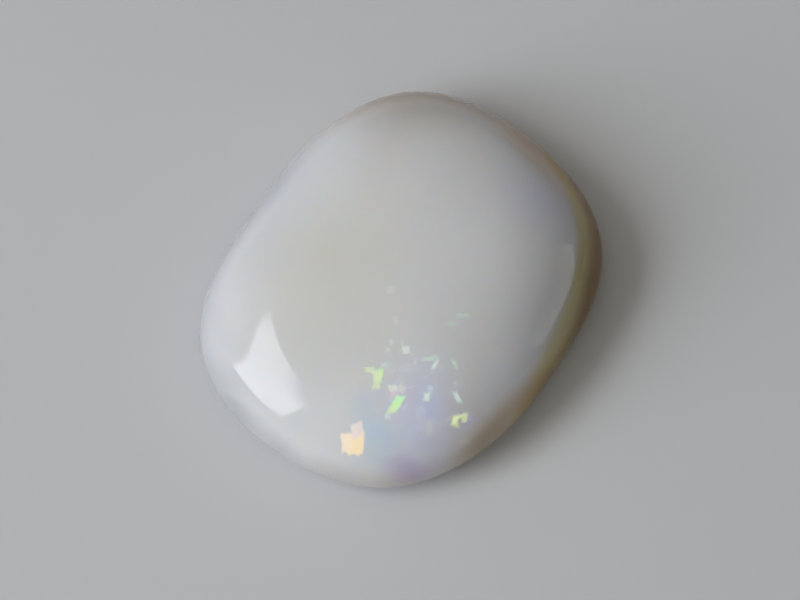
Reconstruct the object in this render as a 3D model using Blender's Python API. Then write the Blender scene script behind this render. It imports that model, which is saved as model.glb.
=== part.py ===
"""A polished opal cabochon: one cushion-shaped stone with a domed face, a rounded girdle and a shallow back.

+X runs along the stone, +Y across it and +Z out of the dome. The origin is the middle of the plan's box, in
the plane of the flat facet that the stone rests on.
"""

import math

import bmesh
import bpy
import numpy as np

# Driving dimensions, in metres
LENGTH = 0.0145
WIDTH = 0.0122
DOME_HEIGHT = 0.0033
BACK_DEPTH = 0.00095

# The base facet's reach, as a share of the girdle's
BASE_SHARE = 0.5

# Exponents of the superellipses: 2 is an ellipse, and a higher one has fuller corners
PLAN_FULLNESS = 3.46
DOME_FULLNESS = 2.3
BACK_FULLNESS = 2.0

# Unevenness of the girdle, which was ground by eye. Each wave goes round the plan a whole number of times and
# has its cosine and sine heights as shares of the radius: one end larger, the two diagonals unequal, a faint
# pear shape, the corners pulled out and turned, and two small ripples.
GIRDLE_WAVES = (
    (1, 0.0156, -0.0012),
    (2, 0.0014, 0.0313),
    (3, -0.0057, 0.0078),
    (4, 0.0370, -0.0156),
    (5, -0.0021, -0.0015),
    (6, 0.0053, -0.0002),
)

# Number of points round the girdle, and of rings on the dome and on the back
GIRDLE_POINTS = 96
DOME_RINGS = 25
BACK_RINGS = 8

# The milky body colour in linear light, and the gloss of the polish
BODY_COLOUR = (0.62, 0.63, 0.64, 1.0)
POLISH_ROUGHNESS = 0.08
OPAL_IOR = 1.45


def girdle_outline():
    """Return the girdle's points: a superellipse whose radius is multiplied by the sum of the girdle's waves.

    The points are scaled to the stone's length and width and moved so that their box is centred.
    The second value is where the middle of the polar outline, under the apex, comes to lie.
    """
    angle = np.arange(GIRDLE_POINTS) * 2.0 * math.pi / GIRDLE_POINTS
    along = np.abs(np.cos(angle) / LENGTH) ** PLAN_FULLNESS
    across = np.abs(np.sin(angle) / WIDTH) ** PLAN_FULLNESS
    radius = (along + across) ** (-1.0 / PLAN_FULLNESS)
    waves = 1.0
    for turns, cosine, sine in GIRDLE_WAVES:
        waves = waves + cosine * np.cos(turns * angle) + sine * np.sin(turns * angle)
    points = np.stack([np.cos(angle), np.sin(angle)], axis=1) * (radius * waves)[:, None]
    scale = np.array([LENGTH, WIDTH]) / np.ptp(points, axis=0)
    middle = (points.max(axis=0) + points.min(axis=0)) / 2.0
    return (points - middle) * scale, -middle * scale


def quarter(fullness, steps):
    """Return the reach and the rise of a superellipse's quarter, from (1, 0) at the rim to (0, 1) on the axis."""
    turn = np.linspace(0.0, math.pi / 2.0, steps + 1)
    reach = np.clip(np.cos(turn), 0.0, 1.0) ** (2.0 / fullness)
    rise = np.sin(turn) ** (2.0 / fullness)
    return reach, rise


def stone_profile():
    """Return (share of the girdle's radius, height) for each ring, from the base facet up to just below the apex."""
    reach, rise = quarter(BACK_FULLNESS, BACK_RINGS)
    back = [(BASE_SHARE + (1.0 - BASE_SHARE) * r, BACK_DEPTH * (1.0 - z)) for r, z in zip(reach, rise)]
    reach, rise = quarter(DOME_FULLNESS, DOME_RINGS)
    dome = [(r, BACK_DEPTH + DOME_HEIGHT * z) for r, z in zip(reach, rise)]
    return back[::-1] + dome[1:-1]


def add_ring(mesh, outline, centre, share, height):
    """Add the girdle's outline, drawn in towards the centre by a share, as a closed loop at one height."""
    verts = []
    for x, y in centre + share * (outline - centre):
        verts.append(mesh.verts.new((x, y, height)))
    edges = []
    for start, end in zip(verts, verts[1:] + verts[:1]):
        edges.append(mesh.edges.new((start, end)))
    return verts, edges


def close_with_fan(mesh, verts, point):
    """Close a ring with triangles that meet at one point."""
    tip = mesh.verts.new(point)
    for start, end in zip(verts, verts[1:] + verts[:1]):
        mesh.faces.new((start, end, tip))


def opal_material():
    """A milky, glossy stone."""
    material = bpy.data.materials.new("milky_opal")
    material.use_nodes = True
    surface = material.node_tree.nodes["Principled BSDF"]
    surface.inputs["Base Color"].default_value = BODY_COLOUR
    surface.inputs["Roughness"].default_value = POLISH_ROUGHNESS
    surface.inputs["Metallic"].default_value = 0.0
    surface.inputs["IOR"].default_value = OPAL_IOR
    return material


def build_cabochon():
    """Join the rings from the base facet to the apex, and close the two ends."""
    outline, centre = girdle_outline()
    mesh = bmesh.new()
    rings = [add_ring(mesh, outline, centre, share, height) for share, height in stone_profile()]
    for (_, lower), (_, upper) in zip(rings, rings[1:]):
        bmesh.ops.bridge_loops(mesh, edges=lower + upper)
    close_with_fan(mesh, rings[0][0], (centre[0], centre[1], 0.0))
    close_with_fan(mesh, rings[-1][0], (centre[0], centre[1], BACK_DEPTH + DOME_HEIGHT))
    bmesh.ops.recalc_face_normals(mesh, faces=mesh.faces)
    data = bpy.data.meshes.new("opal_cabochon")
    mesh.to_mesh(data)
    mesh.free()
    data.shade_smooth()
    stone = bpy.data.objects.new("opal_cabochon", data)
    stone.data.materials.append(opal_material())
    bpy.context.scene.collection.objects.link(stone)


for old in list(bpy.data.objects):
    bpy.data.objects.remove(old, do_unlink=True)

build_cabochon()
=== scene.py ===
"""A polished opal cabochon on a pale studio floor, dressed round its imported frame."""

import math
from functools import reduce
from operator import mul

import bpy
import numpy as np
from mathutils import Matrix, Vector


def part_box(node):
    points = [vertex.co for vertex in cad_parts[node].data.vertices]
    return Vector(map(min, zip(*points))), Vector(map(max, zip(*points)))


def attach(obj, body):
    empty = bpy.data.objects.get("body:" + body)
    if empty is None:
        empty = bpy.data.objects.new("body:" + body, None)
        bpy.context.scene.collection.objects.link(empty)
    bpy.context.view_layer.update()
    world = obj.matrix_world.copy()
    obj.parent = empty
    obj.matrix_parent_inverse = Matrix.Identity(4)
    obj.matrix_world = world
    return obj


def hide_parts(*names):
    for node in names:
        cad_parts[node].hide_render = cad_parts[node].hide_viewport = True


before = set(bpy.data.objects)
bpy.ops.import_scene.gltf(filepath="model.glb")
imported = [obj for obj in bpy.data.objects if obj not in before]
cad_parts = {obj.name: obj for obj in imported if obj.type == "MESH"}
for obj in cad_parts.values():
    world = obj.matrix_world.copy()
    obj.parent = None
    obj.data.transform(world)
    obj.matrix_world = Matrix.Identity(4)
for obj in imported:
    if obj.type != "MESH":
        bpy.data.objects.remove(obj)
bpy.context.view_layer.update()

# The stone: one piece of milky precious opal, ground to a cushion by eye and domed. Its faces are polished on
# a felt wheel, which leaves them a few thousandths of a millimetre uneven. It lies loose on a flat facet of
# its back, which is left matt from the lap.
MILLIMETRES = 1000.0
LOW, HIGH = (np.array(corner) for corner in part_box("opal_cabochon"))
LENGTH, WIDTH, HEIGHT = HIGH - LOW
GIRDLE_HEIGHT = 0.00095
BASE_SHARE = 0.5
PLAN_FULLNESS = 3.46
DOME_FULLNESS = 2.3
BACK_FULLNESS = 2.0

# Unevenness of the girdle: each wave goes round the plan a whole number of times, and has its cosine and sine
# heights as shares of the radius
GIRDLE_WAVES = (
    (1, 0.0156, -0.0012),
    (2, 0.0014, 0.0313),
    (3, -0.0057, 0.0078),
    (4, 0.0370, -0.0156),
    (5, -0.0021, -0.0015),
    (6, 0.0053, -0.0002),
)

# Number of points round the girdle, and of rings on the facet, the back and the dome
GIRDLE_STEPS = 360
FACET_STEPS = 6
BACK_STEPS = 24
DOME_STEPS = 110

# Height of the polish's waves in metres, and each one's pitches along and across the stone, in radians per
# millimetre, with its start
POLISH_WAVES = 0.0000025
POLISH_PITCHES = ((1.9, 0.4, 0.3), (-0.7, 2.3, 1.1), (2.9, 2.1, 4.0), (-3.3, 1.7, 2.2))


def cushion_outline(angle):
    """A superellipse in polar form, whose radius is multiplied by one plus a few low waves round the plan.

    It isn't scaled to the stone or centred yet.
    """
    along = np.abs(np.cos(angle) / LENGTH) ** PLAN_FULLNESS
    across = np.abs(np.sin(angle) / WIDTH) ** PLAN_FULLNESS
    radius = (along + across) ** (-1.0 / PLAN_FULLNESS)
    waves = 1.0 + sum(c * np.cos(k * angle) + s * np.sin(k * angle) for k, c, s in GIRDLE_WAVES)
    return np.stack([np.cos(angle), np.sin(angle)], axis=-1) * (radius * waves)[..., None]


def quarter(fullness, steps):
    """Reach and rise of a superellipse's quarter: powers of the cosine and the sine, from rim to axis."""
    turn = np.linspace(0.0, math.pi / 2.0, steps + 1)
    return np.clip(np.cos(turn), 0.0, 1.0) ** (2.0 / fullness), np.sin(turn) ** (2.0 / fullness)


def polish_unevenness(plan):
    """Sine waves a few millimetres long that cross over the plan, averaged and scaled to their height."""
    x = MILLIMETRES * plan[..., 0]
    y = MILLIMETRES * plan[..., 1]
    waves = sum(np.sin(a * x + b * y + start) for a, b, start in POLISH_PITCHES)
    return POLISH_WAVES * waves / len(POLISH_PITCHES)


def stone_grid():
    """The stone as rings by angle: at each height the girdle's outline, drawn in to the profile's reach.

    The profile runs over the flat facet, up the back to the girdle, and up the dome to the apex. The polish
    lowers the dome a little, by an amount that grows with the height above the girdle.
    """
    outline = cushion_outline(np.arange(GIRDLE_STEPS) * 2.0 * math.pi / GIRDLE_STEPS)
    scale = np.array([LENGTH, WIDTH]) / np.ptp(outline, axis=0)
    middle = (outline.max(axis=0) + outline.min(axis=0)) / 2.0
    facet = np.linspace(0.0, BASE_SHARE, FACET_STEPS, endpoint=False)
    back_reach, back_rise = quarter(BACK_FULLNESS, BACK_STEPS)
    dome_reach, dome_rise = quarter(DOME_FULLNESS, DOME_STEPS)
    back_reach = BASE_SHARE + (1.0 - BASE_SHARE) * back_reach[::-1]
    back_height = GIRDLE_HEIGHT * (1.0 - back_rise[::-1])
    dome_height = GIRDLE_HEIGHT + (HEIGHT - GIRDLE_HEIGHT) * dome_rise
    reach = np.concatenate([facet, back_reach, dome_reach[1:]])
    height = np.concatenate([0.0 * facet, back_height, dome_height[1:]])
    plan = (outline * reach[:, None, None] - middle) * scale
    rise = np.clip((height - GIRDLE_HEIGHT) / (HEIGHT - GIRDLE_HEIGHT), 0.0, 1.0)[:, None]
    height = height[:, None] + rise * (polish_unevenness(plan) - POLISH_WAVES)
    return np.concatenate([plan, height[..., None]], axis=-1)


def closed_surface(name, grid):
    """A mesh of the grid's rings, whose first and last rings are each drawn to one point and closed."""
    rows, turns = grid.shape[:2]
    inner = grid[1:-1].reshape(-1, 3)
    ends = np.stack([grid[0].mean(axis=0), grid[-1].mean(axis=0)])
    first, last = len(inner), len(inner) + 1
    step = np.arange(turns)
    after = (step + 1) % turns
    ring = np.arange(rows - 3)[:, None] * turns
    quads = np.stack([ring + step, ring + after, ring + turns + after, ring + turns + step], axis=-1)
    bottom = np.stack([np.full(turns, first), after, step], axis=-1)
    top_ring = (rows - 3) * turns
    top = np.stack([np.full(turns, last), top_ring + step, top_ring + after], axis=-1)
    mesh = bpy.data.meshes.new(name)
    faces = quads.reshape(-1, 4).tolist() + bottom.tolist() + top.tolist()
    mesh.from_pydata(np.concatenate([inner, ends]).tolist(), [], faces)
    mesh.shade_smooth()
    piece = bpy.data.objects.new(name, mesh)
    bpy.context.scene.collection.objects.link(piece)
    return piece


class Shade:
    """A socket in a tree of nodes. Signs of arithmetic between shades, or with numbers, add Math nodes."""

    def __init__(self, tree, socket=None):
        self.tree = tree
        self.socket = socket

    def node(self, kind, settings, inputs, output=0):
        """Add a node of a type: its settings are set first, and then each input's value or link."""
        made = self.tree.nodes.new(kind)
        for name, value in settings.items():
            setattr(made, name, value)
        for name, value in inputs.items():
            if isinstance(value, Shade):
                self.tree.links.new(value.socket, made.inputs[name])
            else:
                made.inputs[name].default_value = value
        return Shade(self.tree, made.outputs[output])

    def maths(self, operation, first, second=0.0):
        """A Math node of one or two values."""
        return self.node("ShaderNodeMath", {"operation": operation}, {0: first, 1: second})

    def vectors(self, operation, other, output="Vector"):
        """A Vector Math node of this vector and another."""
        return self.node("ShaderNodeVectorMath", {"operation": operation}, {0: self, 1: other}, output)

    def times(self, factor):
        """This vector or colour, longer or brighter by a factor."""
        return self.node("ShaderNodeVectorMath", {"operation": "SCALE"}, {0: self, "Scale": factor})

    def blend(self, share, colour, way="MIX"):
        """This colour with another laid over it by a share."""
        settings = {"data_type": "RGBA", "blend_type": way}
        return self.node("ShaderNodeMix", settings, {0: share, 6: self, 7: colour}, 2)

    def ramp(self, start, end):
        """A smooth step of this value: zero at the start and one at the end, which may be the smaller one."""
        settings = {"interpolation_type": "SMOOTHSTEP"}
        return self.node("ShaderNodeMapRange", settings, {"Value": self, "From Min": start, "From Max": end})

    def larger(self, other):
        """The larger of two values."""
        return self.maths("MAXIMUM", self, other)

    def axis(self, name):
        """One axis of this vector."""
        return self.node("ShaderNodeSeparateXYZ", {}, {0: self}, name)

    def __add__(self, other):
        return self.maths("ADD", self, other)

    def __sub__(self, other):
        return self.maths("SUBTRACT", self, other)

    def __rsub__(self, other):
        return self.maths("SUBTRACT", other, self)

    def __mul__(self, other):
        return self.maths("MULTIPLY", self, other)

    def __pow__(self, other):
        return self.maths("POWER", self, other)

    def __abs__(self):
        return self.maths("ABSOLUTE", self)

    __radd__ = __add__
    __rmul__ = __mul__


# The opal's milk: the share of light that it sends back, in linear light, clouded between a warm and a cool
# white. From here on, places, sizes and heights are in millimetres, and places lie on the stone's plan.
MILK_WARM = (0.965, 0.955, 0.93, 1.0)
MILK_COOL = (0.92, 0.93, 0.95, 1.0)
CLOUDING = {"Scale": 0.28, "Detail": 2.0, "Roughness": 0.4}
OPAL_IOR = 1.45
SCATTER_SHARES = (1.0, 0.8, 0.65)
SCATTER_DISTANCE = 0.0015

# Directions on the plan towards the stone's honey side, towards the side that is given painted shade, and
# towards its rose side
HONEY_SIDE = (0.681, -0.733, 0.0)
SHADE_SIDE = (0.777, -0.630, 0.0)
ROSE_SIDE = (0.733, 0.681, 0.0)

# The measure of the honey edge and its painted shade is the distance towards its side, plus this length times
# the share of the way to the girdle, less this share of the distance from the side's middle line
HONEY_SHADE_REACH = 15.0
HONEY_SHADE_NARROWING = 0.25

# Tints of the milk: a colour, and the measures of place that bring it in, each from where it starts to where
# it is full. All but the tan shoulder are painted shade: they darken the milk in places, most of all towards
# the rims and the sides away from the key board. The olive, honey, tan, rose and bisque edges are also the
# stone's own warm, translucent edge colour. Honey, shade side, rose and back are distances towards those
# sides, and reach is the share of the way from the axis to the girdle.
TINTS = {
    "shaded half": ((0.86, 0.86, 0.90), (("shade side", 1.2, 7.0), ("rose", -5.0, -2.0))),
    "shaded honey side": ((0.83, 0.83, 0.81), (("honey", 2.8, 6.3),)),
    "olive edge and shade": ((0.88, 0.78, 0.43), (("honey edge and shade", 17.1, 18.3),)),
    "honey edge and shade": ((0.42, 0.25, 0.05), (("honey edge and shade", 18.0, 19.7),)),
    "tan rim and shade": ((0.70, 0.58, 0.42), (("honey", 0.5, 3.0), ("rose", -1.5, -3.5), ("reach", 0.90, 0.99))),
    "near side": ((0.94, 0.94, 0.92), (("honey", 1.5, -1.0), ("rose", -1.0, -4.0))),
    "shaded left side": ((0.885, 0.89, 0.92), (("honey", 0.5, -6.0),)),
    "left rim": ((0.77, 0.78, 0.79), (("honey", -2.2, -4.6), ("rose", -3.5, -1.0), ("reach", 0.76, 0.90))),
    "far edge": ((0.80, 0.77, 0.72), (("back", 1.2, 5.0), ("honey", -2.5, 0.5))),
    "far corner": ((0.92, 0.91, 0.90), (("rose", 4.3, 6.6),)),
    "rose rim and shade": (
        (0.83, 0.70, 0.62),
        (("rose", 1.5, 4.5), ("honey", -3.8, -0.2), ("honey", 6.4, 4.2), ("reach", 0.80, 0.95)),
    ),
    "tan shoulder": (
        (0.98, 0.87, 0.76),
        (("rose", 1.5, 4.5), ("honey", 2.5, 5.0), ("honey", 7.2, 5.4), ("reach", 0.74, 0.90)),
    ),
    "near rim": ((0.80, 0.79, 0.79), (("rose", -4.5, -6.2), ("rose", -7.2, -6.3), ("reach", 0.94, 0.995))),
    "bisque rim and shade": ((0.74, 0.68, 0.67), (("rose", -6.2, -7.2), ("reach", 0.88, 0.97))),
}

# The rim's painted shade, a cool grey darkening, is wide towards the far end and narrow towards the near one
RIM_SHADE = (0.72, 0.74, 0.75, 1.0)
RIM_SHADE_WIDE = (("rose", -5.4, -3.0), ("reach", 0.86, 0.98))
RIM_SHADE_NARROW = (("reach", 0.94, 0.985),)
RIM_SHADE_SIDE = (("honey", -4.4, -5.8),)

# Hazes in the milk: an oval's middle, its two reaches and its turn in degrees, its tint, and its painted
# glow, an emission that stands in for the light that its fine play of colour sends back
HAZES = {
    "warm middle": ((-2.2, 1.4), (5.5, 4.5), 0.0, (0.95, 0.94, 0.87), (0.00, 0.00, 0.00)),
    "blue pocket": ((-3.5, -4.1), (2.6, 1.9), 30.0, (0.96, 0.98, 1.00), (0.00, 0.01, 0.09)),
    "sky by the corner": ((-5.2, -3.65), (1.0, 1.4), 35.0, (0.89, 0.96, 1.00), (0.00, 0.01, 0.03)),
    "sky by the orange": ((-4.6, -2.7), (1.0, 0.9), 0.0, (0.91, 0.97, 1.00), (0.00, 0.00, 0.02)),
    "blue by the lemon": ((-3.1, -4.3), (0.7, 0.6), 0.0, (0.98, 0.98, 1.00), (0.00, 0.00, 0.04)),
    "blue by the orange": ((-5.0, -3.3), (0.5, 0.9), 30.0, (0.95, 0.98, 1.00), (0.00, 0.01, 0.04)),
    "lilac corner": ((-4.98, -4.78), (0.45, 1.2), 42.0, (0.87, 0.79, 0.88), (0.00, 0.00, 0.02)),
    "pink between flakes": ((-3.3, -3.5), (0.5, 0.4), 0.0, (1.00, 0.96, 0.97), (0.02, 0.00, 0.015)),
    "violet by the lemon": ((-2.4, -5.35), (0.35, 0.3), 0.0, (0.98, 0.94, 1.00), (0.02, 0.00, 0.08)),
    "lavender side": ((4.7, -1.6), (1.6, 2.2), 0.0, (0.97, 0.97, 1.00), (0.00, 0.00, 0.02)),
    "painted glow on the near side": ((-0.3, -5.2), (2.4, 1.1), 10.0, (1.00, 1.00, 1.00), (0.012, 0.015, 0.03)),
}

# The flakes' hues: the milk's tint in a flake, and its painted glow, an emission that stands in for the light
# that the flake's play of colour sends back
HUES = {
    "amber": ((0.98, 0.88, 0.70), (0.38, 0.21, 0.07)),
    "apricot": ((0.98, 0.89, 0.79), (0.37, 0.21, 0.10)),
    "peach": ((0.98, 0.92, 0.90), (0.25, 0.13, 0.09)),
    "leaf": ((0.83, 0.98, 0.66), (0.11, 0.42, 0.06)),
    "mint": ((0.78, 0.98, 0.92), (0.02, 0.36, 0.10)),
    "lime": ((0.93, 0.98, 0.76), (0.13, 0.27, 0.04)),
    "lemon": ((0.96, 0.98, 0.72), (0.34, 0.45, 0.13)),
    "sage": ((0.88, 0.98, 0.90), (0.11, 0.24, 0.12)),
    "cream": ((0.96, 0.98, 0.92), (0.17, 0.23, 0.14)),
    "ice": ((0.90, 0.98, 0.97), (0.19, 0.31, 0.26)),
    "sky": ((0.84, 0.95, 1.00), (0.16, 0.28, 0.32)),
    "rose": ((0.98, 0.90, 0.94), (0.20, 0.11, 0.13)),
}

# The flakes, each a slanted four-sided patch: its middle, its two half-edges, its hue, and how much it shows
FLAKES = (
    # The orange flake by the corner
    ((-5.65, -3.18), (0.17, -0.20), (-0.23, -0.17), "amber", 1.0),
    ((-5.84, -2.88), (0.11, -0.10), (-0.16, -0.17), "apricot", 1.0),
    ((-5.36, -2.96), (0.17, -0.09), (-0.13, -0.16), "peach", 0.9),
    # The green flake and the pale ones behind it
    ((-3.89, -3.41), (0.12, -0.10), (-0.27, -0.05), "leaf", 1.0),
    ((-3.67, -3.38), (0.09, -0.09), (-0.09, -0.02), "mint", 0.5),
    ((-4.11, -3.43), (0.10, -0.09), (-0.10, -0.05), "lime", 0.6),
    ((-3.61, -3.00), (0.10, -0.10), (-0.05, -0.09), "cream", 0.8),
    ((-3.69, -3.14), (0.09, -0.08), (-0.06, -0.04), "rose", 0.5),
    ((-3.42, -3.22), (0.01, -0.11), (-0.10, -0.05), "cream", 0.5),
    # The lime flake on the pocket's left
    ((-3.69, -2.00), (0.10, -0.11), (-0.04, -0.07), "lime", 0.7),
    ((-3.57, -2.36), (0.06, -0.06), (-0.12, -0.09), "leaf", 0.9),
    ((-3.69, -2.32), (0.08, -0.11), (-0.11, -0.16), "lime", 0.9),
    ((-3.89, -2.48), (0.07, -0.08), (-0.12, -0.10), "lime", 0.8),
    # The pale flakes along the pocket's far side and right side
    ((-2.03, -3.20), (0.18, -0.11), (-0.01, -0.05), "sage", 1.0),
    ((-2.04, -3.47), (0.06, -0.03), (-0.17, -0.05), "ice", 1.0),
    ((-2.37, -2.45), (0.08, -0.08), (-0.08, -0.09), "cream", 0.95),
    ((-2.45, -2.93), (0.03, -0.03), (-0.04, -0.04), "ice", 0.5),
    ((-1.54, -3.92), (0.05, -0.03), (-0.04, -0.13), "sage", 0.9),
    ((-1.99, -4.35), (0.02, -0.02), (-0.04, -0.04), "ice", 0.5),
    ((-2.25, -4.70), (0.07, -0.03), (-0.05, -0.16), "ice", 1.0),
    # The lemon flake on the right
    ((-2.77, -5.08), (0.09, -0.05), (-0.13, -0.06), "lemon", 1.0),
    ((-2.57, -5.11), (0.16, -0.07), (-0.03, -0.03), "lemon", 1.0),
    ((-2.48, -5.24), (0.08, -0.05), (-0.08, -0.06), "lemon", 0.8),
    ((-2.84, -5.21), (0.06, -0.05), (-0.04, -0.05), "lemon", 0.6),
    ((-2.41, -5.19), (0.03, -0.02), (-0.03, -0.02), "ice", 1.0),
    ((-2.95, -4.92), (0.12, -0.04), (-0.02, -0.03), "rose", 0.5),
    # The pale pair in the pocket's middle
    ((-2.73, -3.87), (0.06, -0.05), (-0.04, -0.04), "sky", 1.0),
    ((-2.83, -3.98), (0.05, -0.04), (-0.04, -0.03), "sky", 0.4),
    ((-3.00, -3.97), (0.08, -0.07), (-0.09, -0.07), "ice", 0.9),
    # Faint lone flakes round the pocket
    ((-0.16, -2.99), (0.12, -0.12), (-0.04, -0.04), "sage", 0.8),
    ((-0.65, -2.92), (0.11, -0.09), (-0.03, -0.06), "sage", 0.4),
    ((-1.21, -0.60), (0.10, -0.08), (-0.08, -0.09), "cream", 0.25),
    ((-1.88, -1.51), (0.06, -0.07), (-0.10, -0.10), "cream", 0.25),
    ((-2.53, -1.93), (0.05, -0.04), (-0.04, -0.05), "cream", 0.4),
    ((-2.80, -2.00), (0.05, -0.04), (-0.05, -0.05), "cream", 0.4),
    ((-2.31, -2.19), (0.04, -0.04), (-0.05, -0.05), "sky", 0.25),
    ((-3.25, -2.26), (0.07, -0.07), (-0.04, -0.05), "ice", 0.3),
    ((-4.37, -3.45), (0.06, -0.05), (-0.04, -0.05), "ice", 0.6),
    ((-3.60, -4.67), (0.08, -0.06), (-0.18, -0.14), "cream", 0.25),
    ((-2.35, -5.37), (0.04, -0.03), (-0.05, -0.04), "sky", 0.3),
    ((-2.90, -5.64), (0.11, -0.06), (-0.02, -0.03), "rose", 0.25),
)

# The box that holds all the flakes, and the heights between which they and the hazes' glow come in
POCKET_CENTRE = (-3.1, -3.1, 0.0)
POCKET_REACH = (3.4, 3.1, 1.0)
UPPER_FACE = (0.9, 1.4)

# How soft and how ragged the flakes' edges are, the ragged edge's cells per millimetre, and the share by
# which those cells dim a flake's painted glow
FLAKE_BLUR = 0.045
EDGE_RAGGEDNESS = 0.055
EDGE_CELLS = 7.0
SPARKLE_DEPTH = 0.2

# The faint mosaic between the flakes: its cells per millimetre, its painted glow, the random values of a cell
# between which that comes in, and the cloud that holds it
MOSAIC_CELLS = 3.2
MOSAIC_GLOW = (0.046, 0.055, 0.058, 1.0)
MOSAIC_LIT = (0.5, 1.0)
MOSAIC_CLOUD = ((-3.3, -3.5), (2.4, 2.4), 0.0)

# Roughness of the polish and of the lapped facet, the heights between which the facet's comes in, and the
# marks that the lap leaves across it
POLISH = 0.06
LAP_ROUGHNESS = 0.6
LAP_HEIGHTS = (0.06, 0.01)
LAP_STRETCH = (2.0, 24.0, 1.0)
LAP_MARKS = {"Scale": 1.0, "Detail": 3.0}


def faded(measures, fades):
    """The product of smooth steps, each of one measure of place, from where it starts to where it is full."""
    return reduce(mul, (measures[name].ramp(start, end) for name, start, end in fades))


def slanted_patch(place, middle, first, second):
    """One inside a slanted four-sided patch and zero outside it, with a soft edge.

    The patch is where a place's offset from the middle, written as shares of the two half-edges, has neither
    share above one.
    """
    shares = []
    for row in np.linalg.inv(np.array([first, second]).T):
        reach = place.vectors("DOT_PRODUCT", (row[0], row[1], 0.0), "Value")
        shares.append(abs(reach - float(row @ np.array(middle))))
    blur = FLAKE_BLUR / min(math.hypot(*first), math.hypot(*second))
    return shares[0].larger(shares[1]).ramp(1.0 + blur, max(0.0, 1.0 - blur))


def soft_cloud(place, middle, reaches, turn):
    """One in the middle of an oval on the plan, easing to zero one reach away from the middle."""
    settings = {"vector_type": "TEXTURE"}
    sockets = {
        "Vector": place,
        "Location": (*middle, 0.0),
        "Rotation": (0.0, 0.0, math.radians(turn)),
        "Scale": (*reaches, 1.0),
    }
    inside = place.node("ShaderNodeMapping", settings, sockets).vectors("MULTIPLY", (1.0, 1.0, 0.0))
    return inside.vectors("LENGTH", (0.0, 0.0, 0.0), "Value").ramp(1.0, 0.0)


def polished_milk(body, glow, roughness):
    """Milky stone under a polish: light goes in, scatters for about a millimetre and comes out again."""
    sockets = {
        "Base Color": body,
        "Roughness": roughness,
        "IOR": OPAL_IOR,
        "Subsurface Weight": 1.0,
        "Subsurface Radius": SCATTER_SHARES,
        "Subsurface Scale": SCATTER_DISTANCE,
        # The glow is painted light, an emission that stands in for the light of the play of colour
        "Emission Color": glow,
        "Emission Strength": 1.0,
    }
    return body.node("ShaderNodeBsdfPrincipled", {"subsurface_method": "RANDOM_WALK"}, sockets)


stone = closed_surface("opal_stone", stone_grid())
opal = bpy.data.materials.new("polished_opal")
opal.use_nodes = True
opal.node_tree.nodes.remove(opal.node_tree.nodes["Principled BSDF"])
metres = Shade(opal.node_tree).node("ShaderNodeTexCoord", {}, {}, "Object")
place = metres.times(MILLIMETRES)

along = abs(place.axis("X") * (2.0 / (MILLIMETRES * LENGTH))) ** PLAN_FULLNESS
across = abs(place.axis("Y") * (2.0 / (MILLIMETRES * WIDTH))) ** PLAN_FULLNESS
reach = (along + across) ** (1.0 / PLAN_FULLNESS)
honey = place.vectors("DOT_PRODUCT", HONEY_SIDE, "Value")
rose = place.vectors("DOT_PRODUCT", ROSE_SIDE, "Value")
measures = {
    "reach": reach,
    "back": place.axis("Y"),
    "shade side": place.vectors("DOT_PRODUCT", SHADE_SIDE, "Value"),
    "honey": honey,
    "rose": rose,
    "honey edge and shade": honey + HONEY_SHADE_REACH * reach - HONEY_SHADE_NARROWING * abs(rose),
}
clouding = place.node("ShaderNodeTexNoise", {}, {"Vector": place, **CLOUDING})
body = place.node("ShaderNodeMix", {"data_type": "RGBA"}, {0: clouding, 6: MILK_WARM, 7: MILK_COOL}, 2)
# Lay on the tints, which are mostly painted shade
for tint, fades in TINTS.values():
    body = body.blend(faded(measures, fades), (*tint, 1.0), "MULTIPLY")
# Painted shade along the rim
rim = faded(measures, RIM_SHADE_WIDE).larger(faded(measures, RIM_SHADE_NARROW))
body = body.blend(rim * faded(measures, RIM_SHADE_SIDE), RIM_SHADE, "MULTIPLY")

# The painted glow starts from black, and each haze adds its own
upper = place.axis("Z").ramp(*UPPER_FACE)
glow = place.times(0.0)
for middle, reaches, turn, tint, painted_glow in HAZES.values():
    mask = soft_cloud(place, middle, reaches, turn)
    body = body.blend(mask, (*tint, 1.0), "MULTIPLY")
    glow = glow.blend(mask * upper, (*painted_glow, 1.0), "ADD")
stretched = place.vectors("MULTIPLY", LAP_STRETCH)
lap_marks = place.node("ShaderNodeTexNoise", {}, {"Vector": stretched, **LAP_MARKS})
roughness = POLISH + place.axis("Z").ramp(*LAP_HEIGHTS) * (LAP_ROUGHNESS * lap_marks)
plain = polished_milk(body, glow, roughness)

cells = place.node("ShaderNodeTexVoronoi", {}, {"Vector": place, "Scale": EDGE_CELLS}, "Color")
ragged = place.vectors("ADD", cells.vectors("SUBTRACT", (0.5, 0.5, 0.5)).times(EDGE_RAGGEDNESS))
mosaic = ragged.node("ShaderNodeTexVoronoi", {}, {"Vector": ragged, "Scale": MOSAIC_CELLS}, "Color")
lit = mosaic.axis("X").ramp(*MOSAIC_LIT) * soft_cloud(place, *MOSAIC_CLOUD) * upper
glow = glow.blend(lit, MOSAIC_GLOW, "ADD")
sparkle = (1.0 - SPARKLE_DEPTH) + SPARKLE_DEPTH * cells.axis("X")
for hue, (tint, painted_glow) in HUES.items():
    patches = []
    for middle, first, second, name, strength in FLAKES:
        if name == hue:
            patches.append(strength * slanted_patch(ragged, middle, first, second))
    mask = reduce(Shade.larger, patches) * upper
    body = body.blend(mask, (*tint, 1.0))
    glow = glow.blend(mask * sparkle, (*painted_glow, 1.0))
flaked = polished_milk(body, glow, roughness)

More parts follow.
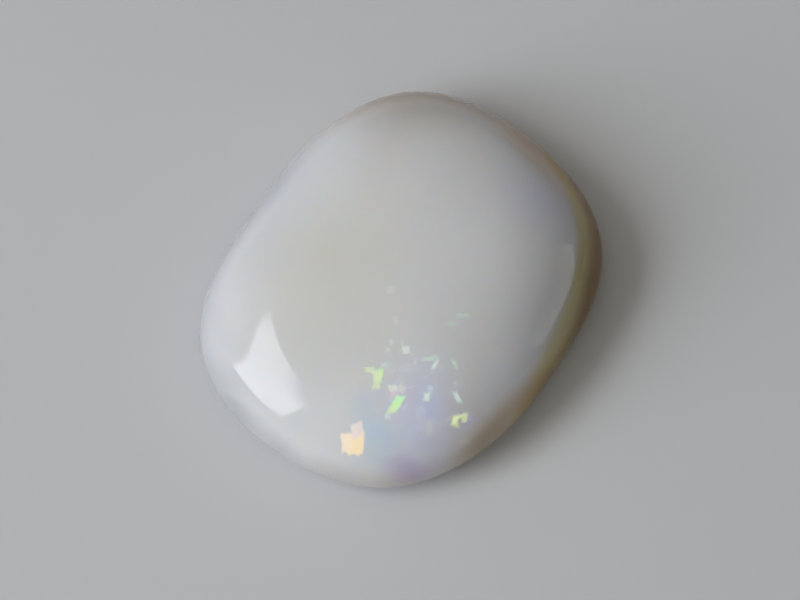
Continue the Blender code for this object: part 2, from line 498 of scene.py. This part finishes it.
offset = place.vectors("SUBTRACT", POCKET_CENTRE).vectors("DIVIDE", POCKET_REACH)
offset = offset.vectors("ABSOLUTE", (0.0, 0.0, 0.0))
pocket = offset.maths("LESS_THAN", offset.axis("X").larger(offset.axis("Y")), 1.0)
finish = place.node("ShaderNodeMixShader", {}, {0: pocket, 1: plain, 2: flaked})
opal.node_tree.links.new(finish.socket, opal.node_tree.nodes["Material Output"].inputs["Surface"])
stone.data.materials.append(opal)
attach(stone, "root")
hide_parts("opal_cabochon")

# The floor: a plain studio table top, painted pale and matt, that the stone lies loose on. It is wide enough
# to fill every view of the stone.
FLOOR_SIZE = 2.0
FLOOR_GREY = (0.76, 0.76, 0.76, 1.0)
FLOOR_ROUGHNESS = 0.9
half = FLOOR_SIZE / 2.0
floor_mesh = bpy.data.meshes.new("studio_floor")
corners = [(-half, -half, 0.0), (half, -half, 0.0), (half, half, 0.0), (-half, half, 0.0)]
floor_mesh.from_pydata(corners, [], [(0, 1, 2, 3)])
floor = bpy.data.objects.new("studio_floor", floor_mesh)
bpy.context.scene.collection.objects.link(floor)
table_top = bpy.data.materials.new("pale_table")
table_top.use_nodes = True
table_surface = table_top.node_tree.nodes["Principled BSDF"]
table_surface.inputs["Base Color"].default_value = FLOOR_GREY
table_surface.inputs["Roughness"].default_value = FLOOR_ROUGHNESS
floor_mesh.materials.append(table_top)

# The camera: a long lens that looks down on the dome across the stone's corner, as the photograph does. The
# frame's width is that of what it shows at the stone, and turns go from the -Y axis towards +X.
CAMERA_TURN = math.radians(-47.1)
CAMERA_ELEVATION = math.radians(66.0)
CAMERA_DISTANCE = 0.1938
FRAME_WIDTH = 0.02768
AIM = Vector((0.00009, 0.00013, 0.00008))
SENSOR = 36.0
NEAR_CLIP = 0.01
FAR_CLIP = 10.0


def direction(turn, elevation):
    """The unit vector at a turn from the -Y axis towards +X, and at an elevation above the floor."""
    flat = math.cos(elevation)
    return Vector((math.sin(turn) * flat, -math.cos(turn) * flat, math.sin(elevation)))


lens = bpy.data.cameras.new("camera")
lens.sensor_width = SENSOR
lens.lens = SENSOR * CAMERA_DISTANCE / FRAME_WIDTH
lens.clip_start = NEAR_CLIP
lens.clip_end = FAR_CLIP
camera = bpy.data.objects.new("camera", lens)
bpy.context.scene.collection.objects.link(camera)
back = direction(CAMERA_TURN, CAMERA_ELEVATION)
turned = back.to_track_quat("Z", "Y").to_matrix().to_4x4()
camera.matrix_world = Matrix.Translation(AIM + CAMERA_DISTANCE * back) @ turned
bpy.context.scene.camera = camera

# The lights: two lit white boards, whose reflections are the bright patch on the stone's near left shoulder
# and the faint band along its right one, and a dim sky that fills in from above and from the left.
BOARD_DISTANCE = 0.3
BOARD_STEPS = 16

# A board's corners are turns away from the camera's, with rises above the floor, in degrees. The bow is in
# shares of the key board's map, and so are its fades, each from where the light is out to where it is full.
KEY_CORNERS = ((-79.5, 10.0), (-52.0, 12.5), (-49.0, 50.0), (-119.0, 49.0))
KEY_RADIANCE = 5.4
KEY_COLOUR = (0.96, 1.0, 1.07, 1.0)
KEY_BOW = 0.27
KEY_BOW_REACH = 0.45
KEY_LEFT_FADE = (-0.06, 0.07)
KEY_TIP_FADE = (0.05, 0.38)
KEY_RIGHT_FADE = (0.08, 0.42)
KEY_FOOT_FADE = (-0.35, 0.45)

# The band board's light, which is full along its lower edge and out along its upper one
BAND_CORNERS = ((78.0, 0.5), (112.0, 17.0), (112.0, 40.0), (78.0, 28.0))
BAND_RADIANCE = 1.2
BAND_COLOUR = (1.0, 1.0, 1.0, 1.0)

# The sky's light straight above and at the left, where it is brightest, and the direction of that left light
SKY_TOP = (0.40, 0.39, 0.36)
SKY_LEFT = (0.15, 0.15, 0.16)
SKY_LEFT_TURN = math.radians(-80.0)
SKY_LEFT_RISE = math.radians(35.0)


def lit_board(name, corner_turns, colour, strength, lights_up):
    """A four-cornered board on a sphere round the stone, blended between the directions of its corners.

    The first corner is at (0, 0) on its map, then (1, 0), (1, 1) and (0, 1). It shows only as light and in
    reflections, and where it doesn't light up the stone, in reflections alone. The strength works out its
    brightness from a shade of its map's two directions.
    """
    corners = [direction(CAMERA_TURN + math.radians(turn), math.radians(rise)) for turn, rise in corner_turns]
    u, v = np.meshgrid(np.linspace(0.0, 1.0, BOARD_STEPS + 1), np.linspace(0.0, 1.0, BOARD_STEPS + 1))
    shares = np.stack([(1 - u) * (1 - v), u * (1 - v), u * v, (1 - u) * v], axis=-1)
    points = shares @ np.array(corners)
    points *= BOARD_DISTANCE / np.linalg.norm(points, axis=-1, keepdims=True)
    row = np.arange(BOARD_STEPS)[:, None] * (BOARD_STEPS + 1)
    first = (row + np.arange(BOARD_STEPS)).ravel()
    faces = np.stack([first, first + 1, first + BOARD_STEPS + 2, first + BOARD_STEPS + 1], axis=-1)
    mesh = bpy.data.meshes.new(name)
    mesh.from_pydata(points.reshape(-1, 3).tolist(), [], faces.tolist())
    layer = mesh.uv_layers.new(name="map")
    layer.data.foreach_set("uv", np.stack([u.ravel(), v.ravel()], axis=-1)[faces.ravel()].ravel())
    material = bpy.data.materials.new(name)
    material.use_nodes = True
    uv = Shade(material.node_tree).node("ShaderNodeUVMap", {"uv_map": "map"}, {})
    light = uv.node("ShaderNodeEmission", {}, {"Color": colour, "Strength": strength(uv)})
    material.node_tree.links.new(light.socket, material.node_tree.nodes["Material Output"].inputs["Surface"])
    mesh.materials.append(material)
    board = bpy.data.objects.new(name, mesh)
    board.visible_camera = False
    board.visible_diffuse = lights_up
    bpy.context.scene.collection.objects.link(board)


def key_strength(uv):
    """Full inside a left edge that bows in as a parabola, and fading towards three of the map's corners."""
    across = (uv.axis("Y") - 0.5) * (1.0 / KEY_BOW_REACH)
    left = (uv.axis("X") - KEY_BOW * (1.0 - across * across)).ramp(*KEY_LEFT_FADE)
    tip = uv.vectors("DISTANCE", (0.0, 1.0, 0.0), "Value").ramp(*KEY_TIP_FADE)
    right = uv.vectors("DISTANCE", (1.0, 1.0, 0.0), "Value").ramp(*KEY_RIGHT_FADE)
    foot = uv.vectors("DISTANCE", (1.0, 0.0, 0.0), "Value").ramp(*KEY_FOOT_FADE)
    return KEY_RADIANCE * left * tip * right * foot


def band_strength(uv):
    """Full along the lower edge, fading out upwards."""
    return BAND_RADIANCE * uv.axis("Y").ramp(1.0, 0.0)


lit_board("key_board", KEY_CORNERS, KEY_COLOUR, key_strength, True)
lit_board("band_board", BAND_CORNERS, BAND_COLOUR, band_strength, False)

scene = bpy.context.scene
scene.view_settings.view_transform = "Standard"
scene.world = bpy.data.worlds.new("studio")
scene.world.use_nodes = True
sky = scene.world.node_tree.nodes["Background"]
look = Shade(scene.world.node_tree).node("ShaderNodeTexCoord", {}, {}, "Generated")
upwards = look.vectors("DOT_PRODUCT", (0.0, 0.0, 1.0), "Value").larger(0.0)
left = direction(CAMERA_TURN + SKY_LEFT_TURN, SKY_LEFT_RISE)
leftwards = look.vectors("DOT_PRODUCT", left, "Value").larger(0.0)
warm = look.node("ShaderNodeCombineXYZ", {}, dict(enumerate(SKY_TOP))).times(upwards * upwards)
cool = look.node("ShaderNodeCombineXYZ", {}, dict(enumerate(SKY_LEFT))).times(leftwards * leftwards)
scene.world.node_tree.links.new(warm.vectors("ADD", cool).socket, sky.inputs["Color"])
sky.inputs["Strength"].default_value = 1.0
